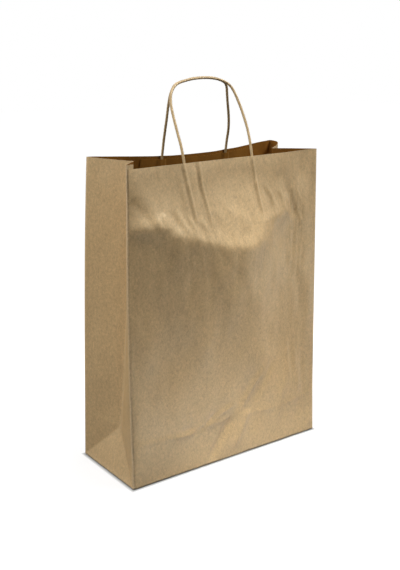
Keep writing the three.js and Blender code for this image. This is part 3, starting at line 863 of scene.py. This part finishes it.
def kraft_group():
    group = bpy.data.node_groups.new("kraft_paper", "ShaderNodeTree")
    socket(group, "Position", "NodeSocketVector", "INPUT")
    socket(group, "Paper Color", "NodeSocketColor", "INPUT", (0.5, 0.36, 0.2, 1))
    socket(group, "Cloudiness", "NodeSocketFloat", "INPUT", 0.06)
    socket(group, "Fibre Contrast", "NodeSocketFloat", "INPUT", 0.10)
    socket(group, "Wear And Highlight", "NodeSocketFloat", "INPUT", 0.0)
    socket(group, "Crumple", "NodeSocketFloat", "INPUT", 0.3)
    socket(group, "Color", "NodeSocketColor", "OUTPUT")
    socket(group, "Roughness", "NodeSocketFloat", "OUTPUT")
    socket(group, "Height", "NodeSocketFloat", "OUTPUT")
    nodes, links = group.nodes, group.links
    enter = nodes.new("NodeGroupInput")
    leave = nodes.new("NodeGroupOutput")

    def noise(scale, stretch, detail, name):
        mapping = nodes.new("ShaderNodeMapping")
        mapping.inputs["Scale"].default_value = stretch
        texture = nodes.new("ShaderNodeTexNoise")
        texture.name = name
        texture.inputs["Scale"].default_value = scale
        texture.inputs["Detail"].default_value = detail
        links.new(enter.outputs["Position"], mapping.inputs["Vector"])
        links.new(mapping.outputs["Vector"], texture.inputs["Vector"])
        return texture.outputs["Fac"]

    def times(a, b):
        return calculate(group, "MULTIPLY", a, b)

    def plus(a, b):
        return calculate(group, "ADD", a, b)

    def minus(a, b):
        return calculate(group, "SUBTRACT", a, b)

    cloud = noise(24, (1, 1, 0.6), 4, "clouds")
    mottle = noise(120, (1, 1, 0.8), 3, "mottle")
    grain = noise(330, (1, 1, 0.7), 2, "grain")
    ripple = noise(80, (1, 1, 0.6), 4, "ripples")
    fibre = noise(900, (1, 1, 0.45), 3, "upright fibres")
    speck = noise(1500, (0.4, 0.4, 1), 2, "cross fibres")
    centred_cloud = minus(plus(cloud, mottle), 1.0)
    centred_fibre = minus(plus(fibre, speck), 1.0)
    speckle = plus(centred_fibre, minus(grain, 0.5))
    shade = plus(times(centred_cloud, enter.outputs["Cloudiness"]),
                 times(speckle, enter.outputs["Fibre Contrast"]))
    # painted highlight: the folds and the foot are lightened here and greyed below; the added
    # roughness further down is their wear
    worn = times(enter.outputs["Wear And Highlight"], FOLD_HIGHLIGHT_LIGHTER)
    tint = nodes.new("ShaderNodeHueSaturation")
    links.new(enter.outputs["Paper Color"], tint.inputs["Color"])
    links.new(plus(plus(shade, worn), 1.0), tint.inputs["Value"])
    links.new(minus(1.0, times(enter.outputs["Wear And Highlight"], FOLD_HIGHLIGHT_GREYER)), tint.inputs["Saturation"])
    links.new(tint.outputs["Color"], leave.inputs["Color"])
    rough = plus(PLAIN_ROUGHNESS, times(centred_fibre, FIBRE_ROUGHNESS))
    links.new(plus(rough, times(enter.outputs["Wear And Highlight"], WORN_ROUGHNESS)),
              leave.inputs["Roughness"])
    grainy = plus(times(plus(fibre, speck), FIBRE_HEIGHT), times(grain, GRAIN_HEIGHT))
    links.new(plus(grainy, times(ripple, enter.outputs["Crumple"])), leave.inputs["Height"])
    return group


kraft = kraft_group()

# %% [markdown]
# Four materials use it: the outside of the sheet, which mirrors the white studio a little
# with its machine glaze, the duller inside and the strips, both darkened with painted shade,
# and the cord further down.

# %% Paper materials
PAPER_IOR = 1.65
WARM_SHEEN = (1.0, 0.91, 0.7, 1.0)


def paper_material(name, color, cloudiness, fibre, bump, ripples, gloss=1.0,
                   uses_painted_values=False):
    material = bpy.data.materials.new(name)
    material.use_nodes = True
    nodes, links = material.node_tree.nodes, material.node_tree.links
    shader = nodes["Principled BSDF"]
    place = nodes.new("ShaderNodeTexCoord")
    group = nodes.new("ShaderNodeGroup")
    group.node_tree = kraft
    group.inputs["Paper Color"].default_value = (*color, 1)
    group.inputs["Cloudiness"].default_value = cloudiness
    group.inputs["Fibre Contrast"].default_value = fibre
    links.new(place.outputs["Object"], group.inputs["Position"])
    group.inputs["Crumple"].default_value = ripples
    # the sheet's painted fold highlight with its wear, and its crumple
    if uses_painted_values:
        for attribute, target in (("wear_and_highlight", "Wear And Highlight"), ("crumple", "Crumple")):
            painted = nodes.new("ShaderNodeAttribute")
            painted.attribute_name = attribute
            links.new(painted.outputs["Fac"], group.inputs[target])
    relief_node = nodes.new("ShaderNodeBump")
    relief_node.inputs["Strength"].default_value = bump
    relief_node.inputs["Distance"].default_value = 1.0 * MM
    links.new(group.outputs["Color"], shader.inputs["Base Color"])
    links.new(group.outputs["Roughness"], shader.inputs["Roughness"])
    links.new(group.outputs["Height"], relief_node.inputs["Height"])
    links.new(relief_node.outputs["Normal"], shader.inputs["Normal"])
    shader.inputs["Specular IOR Level"].default_value = gloss
    shader.inputs["Specular Tint"].default_value = WARM_SHEEN
    shader.inputs["IOR"].default_value = PAPER_IOR
    return material


outside = paper_material("kraft outside", (0.50, 0.335, 0.158), 0.17, 0.6, 1.0, 0.3,
                         uses_painted_values=True)
# painted shade: the inside is a far darker brown than the outside, for the shade inside the
# bag
shaded_inside = paper_material("kraft inside", (0.23, 0.098, 0.018), 0.2, 0.28, 0.8, 0.3,
                        gloss=0.08)
# painted shade: the strips inside the bag are as dark as the shaded inside
shaded_strip_paper = paper_material("kraft strip", (0.25, 0.112, 0.022), 0.2, 0.28, 0.8, 0.3,
                             gloss=0.08)


LAY_ROUND, LAY_ALONG = 9.0, 9.0 * 26
DARK_LINES = 0.2


def cord_material():
    """Twisted paper: fine darker lines wind round the cord along its own lay."""
    material = paper_material("paper cord", (0.46, 0.32, 0.16), 0.12, 0.2, 0.4, 0.1,
                              gloss=0.3)
    nodes, links = material.node_tree.nodes, material.node_tree.links
    shader = nodes["Principled BSDF"]
    wrap = nodes.new("ShaderNodeUVMap")
    wrap.uv_map = "wrap"
    lay = nodes.new("ShaderNodeMapping")
    lay.inputs["Scale"].default_value = (LAY_ROUND, LAY_ALONG, 1)
    lines = nodes.new("ShaderNodeTexWave")
    lines.wave_type = "BANDS"
    lines.bands_direction = "DIAGONAL"
    lines.inputs["Scale"].default_value = 0.9
    lines.inputs["Distortion"].default_value = 2.0
    mix = nodes.new("ShaderNodeMix")
    mix.data_type = "RGBA"
    mix.blend_type = "MULTIPLY"
    mix_factor, mix_first, mix_second = mix.inputs[0], mix.inputs[6], mix.inputs[7]
    mix_factor.default_value = DARK_LINES
    group = next(node for node in nodes if node.type == "GROUP")
    links.new(wrap.outputs["UV"], lay.inputs["Vector"])
    links.new(lay.outputs["Vector"], lines.inputs["Vector"])
    links.new(group.outputs["Color"], mix_first)
    links.new(lines.outputs["Color"], mix_second)
    links.new(mix.outputs[2], shader.inputs["Base Color"])
    return material


cord_paper = cord_material()
bag_sheet.data.materials.append(outside)
bag_sheet.data.materials.append(shaded_inside)
bag_bottom.data.materials.append(shaded_inside)
for cord in (front_cord, back_cord):
    cord.data.materials.append(cord_paper)
for piece in (front_base, front_cover, back_base, back_cover):
    piece.data.materials.append(shaded_strip_paper)
print("materials", [m.name for m in bpy.data.materials])

# %% [markdown]
# The bag stands on a pale floor in a white studio. The world is white to the camera and in
# reflections, and gives next to no light of its own, so that the folds keep their shade.
# The camera sees the floor lifted to white around the bag, apart from the shadow; the lift is
# a little less within 0.4 m of the bag, and fades to nothing over the last few millimetres
# to its foot, which is a painted contact shadow. Some parts of the floor glow in reflections
# only, though no lamp is there: these painted reflections in the satin paper give the front
# panel its light lower right. The key lamp is up and to the right, weaker lamps light the
# gusset from the left, and a small one lights the foot.

# %% Floor, world and lamps
FLOOR_SIZE, FLOOR_GREY = 6, 0.25
NEAR_LIFT, FAR_LIFT = 0.78, 0.22
# painted contact shadow: the floor's white lift fades to nothing over the first ring, at the
# foot
CONTACT_SHADOW_RING, FAR_RING = (-0.001, 0.005), (0.02, 0.4)
# painted reflections: glowing patches on the floor that only reflections see
# place on the floor, radius and strength
PAINTED_REFLECTION_PATCHES = ((-0.02, -0.2, 0.33, 0.8), (0.3, -0.2, 0.35, 0.3), (0.6, -0.35, 0.4, 0.4),
                  (0.9, -0.45, 0.49, 0.9), (1.1, -0.9, 0.6, 1.4), (1.5, -0.6, 0.7, 1.4))
AMBIENT = 0.02
floor_bm = bmesh.new()
bmesh.ops.create_grid(floor_bm, x_segments=1, y_segments=1, size=FLOOR_SIZE)
floor = finish_mesh(floor_bm, "floor")
floor_material = bpy.data.materials.new("white floor")
floor_material.use_nodes = True
floor_tree = floor_material.node_tree
floor_nodes, floor_links = floor_tree.nodes, floor_tree.links
floor_shader = floor_nodes["Principled BSDF"]
floor_shader.inputs["Base Color"].default_value = (FLOOR_GREY, FLOOR_GREY, FLOOR_GREY, 1)
floor_shader.inputs["Roughness"].default_value = 0.9
floor_shader.inputs["Specular IOR Level"].default_value = 0.0
floor_shader.inputs["Emission Color"].default_value = (1, 1, 1, 1)


def floor_ramp(value, start, end, low, high, kind="LINEAR"):
    node = floor_nodes.new("ShaderNodeMapRange")
    node.interpolation_type = kind
    for name, amount in (("From Min", start), ("From Max", end), ("To Min", low),
                         ("To Max", high)):
        node.inputs[name].default_value = amount
    floor_links.new(value, node.inputs["Value"])
    return node.outputs["Result"]


floor_place = floor_nodes.new("ShaderNodeTexCoord")
floor_axes = floor_nodes.new("ShaderNodeSeparateXYZ")
floor_links.new(floor_place.outputs["Object"], floor_axes.inputs[0])
# how far a place on the floor is outside the footprint of the bag
beyond_x, beyond_y = (
    calculate(floor_tree, "SUBTRACT", calculate(floor_tree, "ABSOLUTE", axis), half * MM)
    for axis, half in zip(floor_axes.outputs, (HALF_WIDTH, HALF_DEPTH)))
beyond = calculate(floor_tree, "MAXIMUM", beyond_x, beyond_y)
# painted contact shadow: no white lift at the bag's foot, full lift a few millimetres away
lift = calculate(floor_tree, "ADD", floor_ramp(beyond, *CONTACT_SHADOW_RING, 0, NEAR_LIFT),
                 floor_ramp(beyond, *FAR_RING, 0, FAR_LIFT))


def painted_reflection_patch(x, y, radius, strength):
    """A soft round glow on the floor, seen only in reflections: a painted reflection in the
    satin paper.
    """
    away = floor_nodes.new("ShaderNodeVectorMath")
    away.operation = "DISTANCE"
    away.inputs[1].default_value = (x, y, 0)
    floor_links.new(floor_place.outputs["Object"], away.inputs[0])
    return floor_ramp(away.outputs["Value"], 0, radius, strength, 0, "SMOOTHSTEP")


painted_reflections = 0.0
for patch in PAINTED_REFLECTION_PATCHES:
    painted_reflections = calculate(floor_tree, "ADD", painted_reflections, painted_reflection_patch(*patch))
floor_path = floor_nodes.new("ShaderNodeLightPath")
seen_lift = calculate(floor_tree, "MULTIPLY", floor_path.outputs["Is Camera Ray"], lift)
# painted reflection: the patches glow for reflected rays only
reflection_glow = calculate(floor_tree, "MULTIPLY", floor_path.outputs["Is Glossy Ray"], painted_reflections)
floor_links.new(calculate(floor_tree, "ADD", seen_lift, reflection_glow),
                floor_shader.inputs["Emission Strength"])
floor.data.materials.append(floor_material)

world = bpy.data.worlds.new("studio")
world.use_nodes = True
scene.world = world
world_tree = world.node_tree
background = world_tree.nodes["Background"]
background.inputs["Color"].default_value = (1, 1, 1, 1)
ray = world_tree.nodes.new("ShaderNodeLightPath")
mirrored_or_through = calculate(world_tree, "MAXIMUM", ray.outputs["Is Glossy Ray"],
                                ray.outputs["Is Transmission Ray"])
seen = calculate(world_tree, "MAXIMUM", ray.outputs["Is Camera Ray"], mirrored_or_through)
world_tree.links.new(calculate(world_tree, "MAXIMUM", seen, AMBIENT),
                     background.inputs["Strength"])


def lamp(name, place, aim, size, power, spread=180):
    """A soft area lamp. Its power is in watts and its spread in degrees."""
    data = bpy.data.lights.new(name, "AREA")
    data.shape = "RECTANGLE"
    data.size, data.size_y = size
    data.energy = power
    data.spread = math.radians(spread)
    made = bpy.data.objects.new(name, data)
    made.location = place
    aim_vector = Vector(aim) - Vector(place)
    made.rotation_euler = aim_vector.to_track_quat("-Z", "Y").to_euler()
    made.visible_camera = False
    scene.collection.objects.link(made)


lamp("key", (0.886, -0.744, 1.479), (0, -0.05, 0.1), (0.4, 0.4), 19)
lamp("over", (0.1, 0, 2.2), (0, 0, 0.1), (0.9, 0.9), 3.2, 60)
lamp("sheen", (0.80, -1.19, 0.66), (0, -0.08, 0.28), (0.8, 0.8), 0.5)
lamp("left high", (-1.131, 0, 1.331), (0, 0, 0.2), (0.8, 0.5), 9)
lamp("left", (-1.4, -0.375, 0.876), (0, 0, 0.2), (0.8, 0.5), 2.4)
lamp("left back", (-1.314, 0.613, 0.876), (0, 0, 0.2), (0.8, 0.5), 6)
lamp("floor patch", (0.05, -0.24, 0.9), (0.05, -0.24, 0), (0.1, 0.1), 0.7, 35)
scene.view_settings.view_transform = "Standard"
print("lamps", [light.name for light in bpy.data.lights])

# %% [markdown]
# Every piece rides on the one body and stands for its solid.

# %% Hand the pieces over
PIECES = (
    (bag_sheet, "bag_body", "kraft_sheet"), (bag_bottom, "bag_body", "kraft_sheet"),
    (front_cord, "front_handle_cord", "paper_cord"),
    (back_cord, "back_handle_cord", "paper_cord"),
    (front_base, "front_base_strip", "kraft_strip"),
    (front_cover, "front_cover_strip", "kraft_strip"),
    (back_base, "back_base_strip", "kraft_strip"),
    (back_cover, "back_cover_strip", "kraft_strip"),
)
for piece, node, slot_name in PIECES:
    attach(piece, "root")
    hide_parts(node)
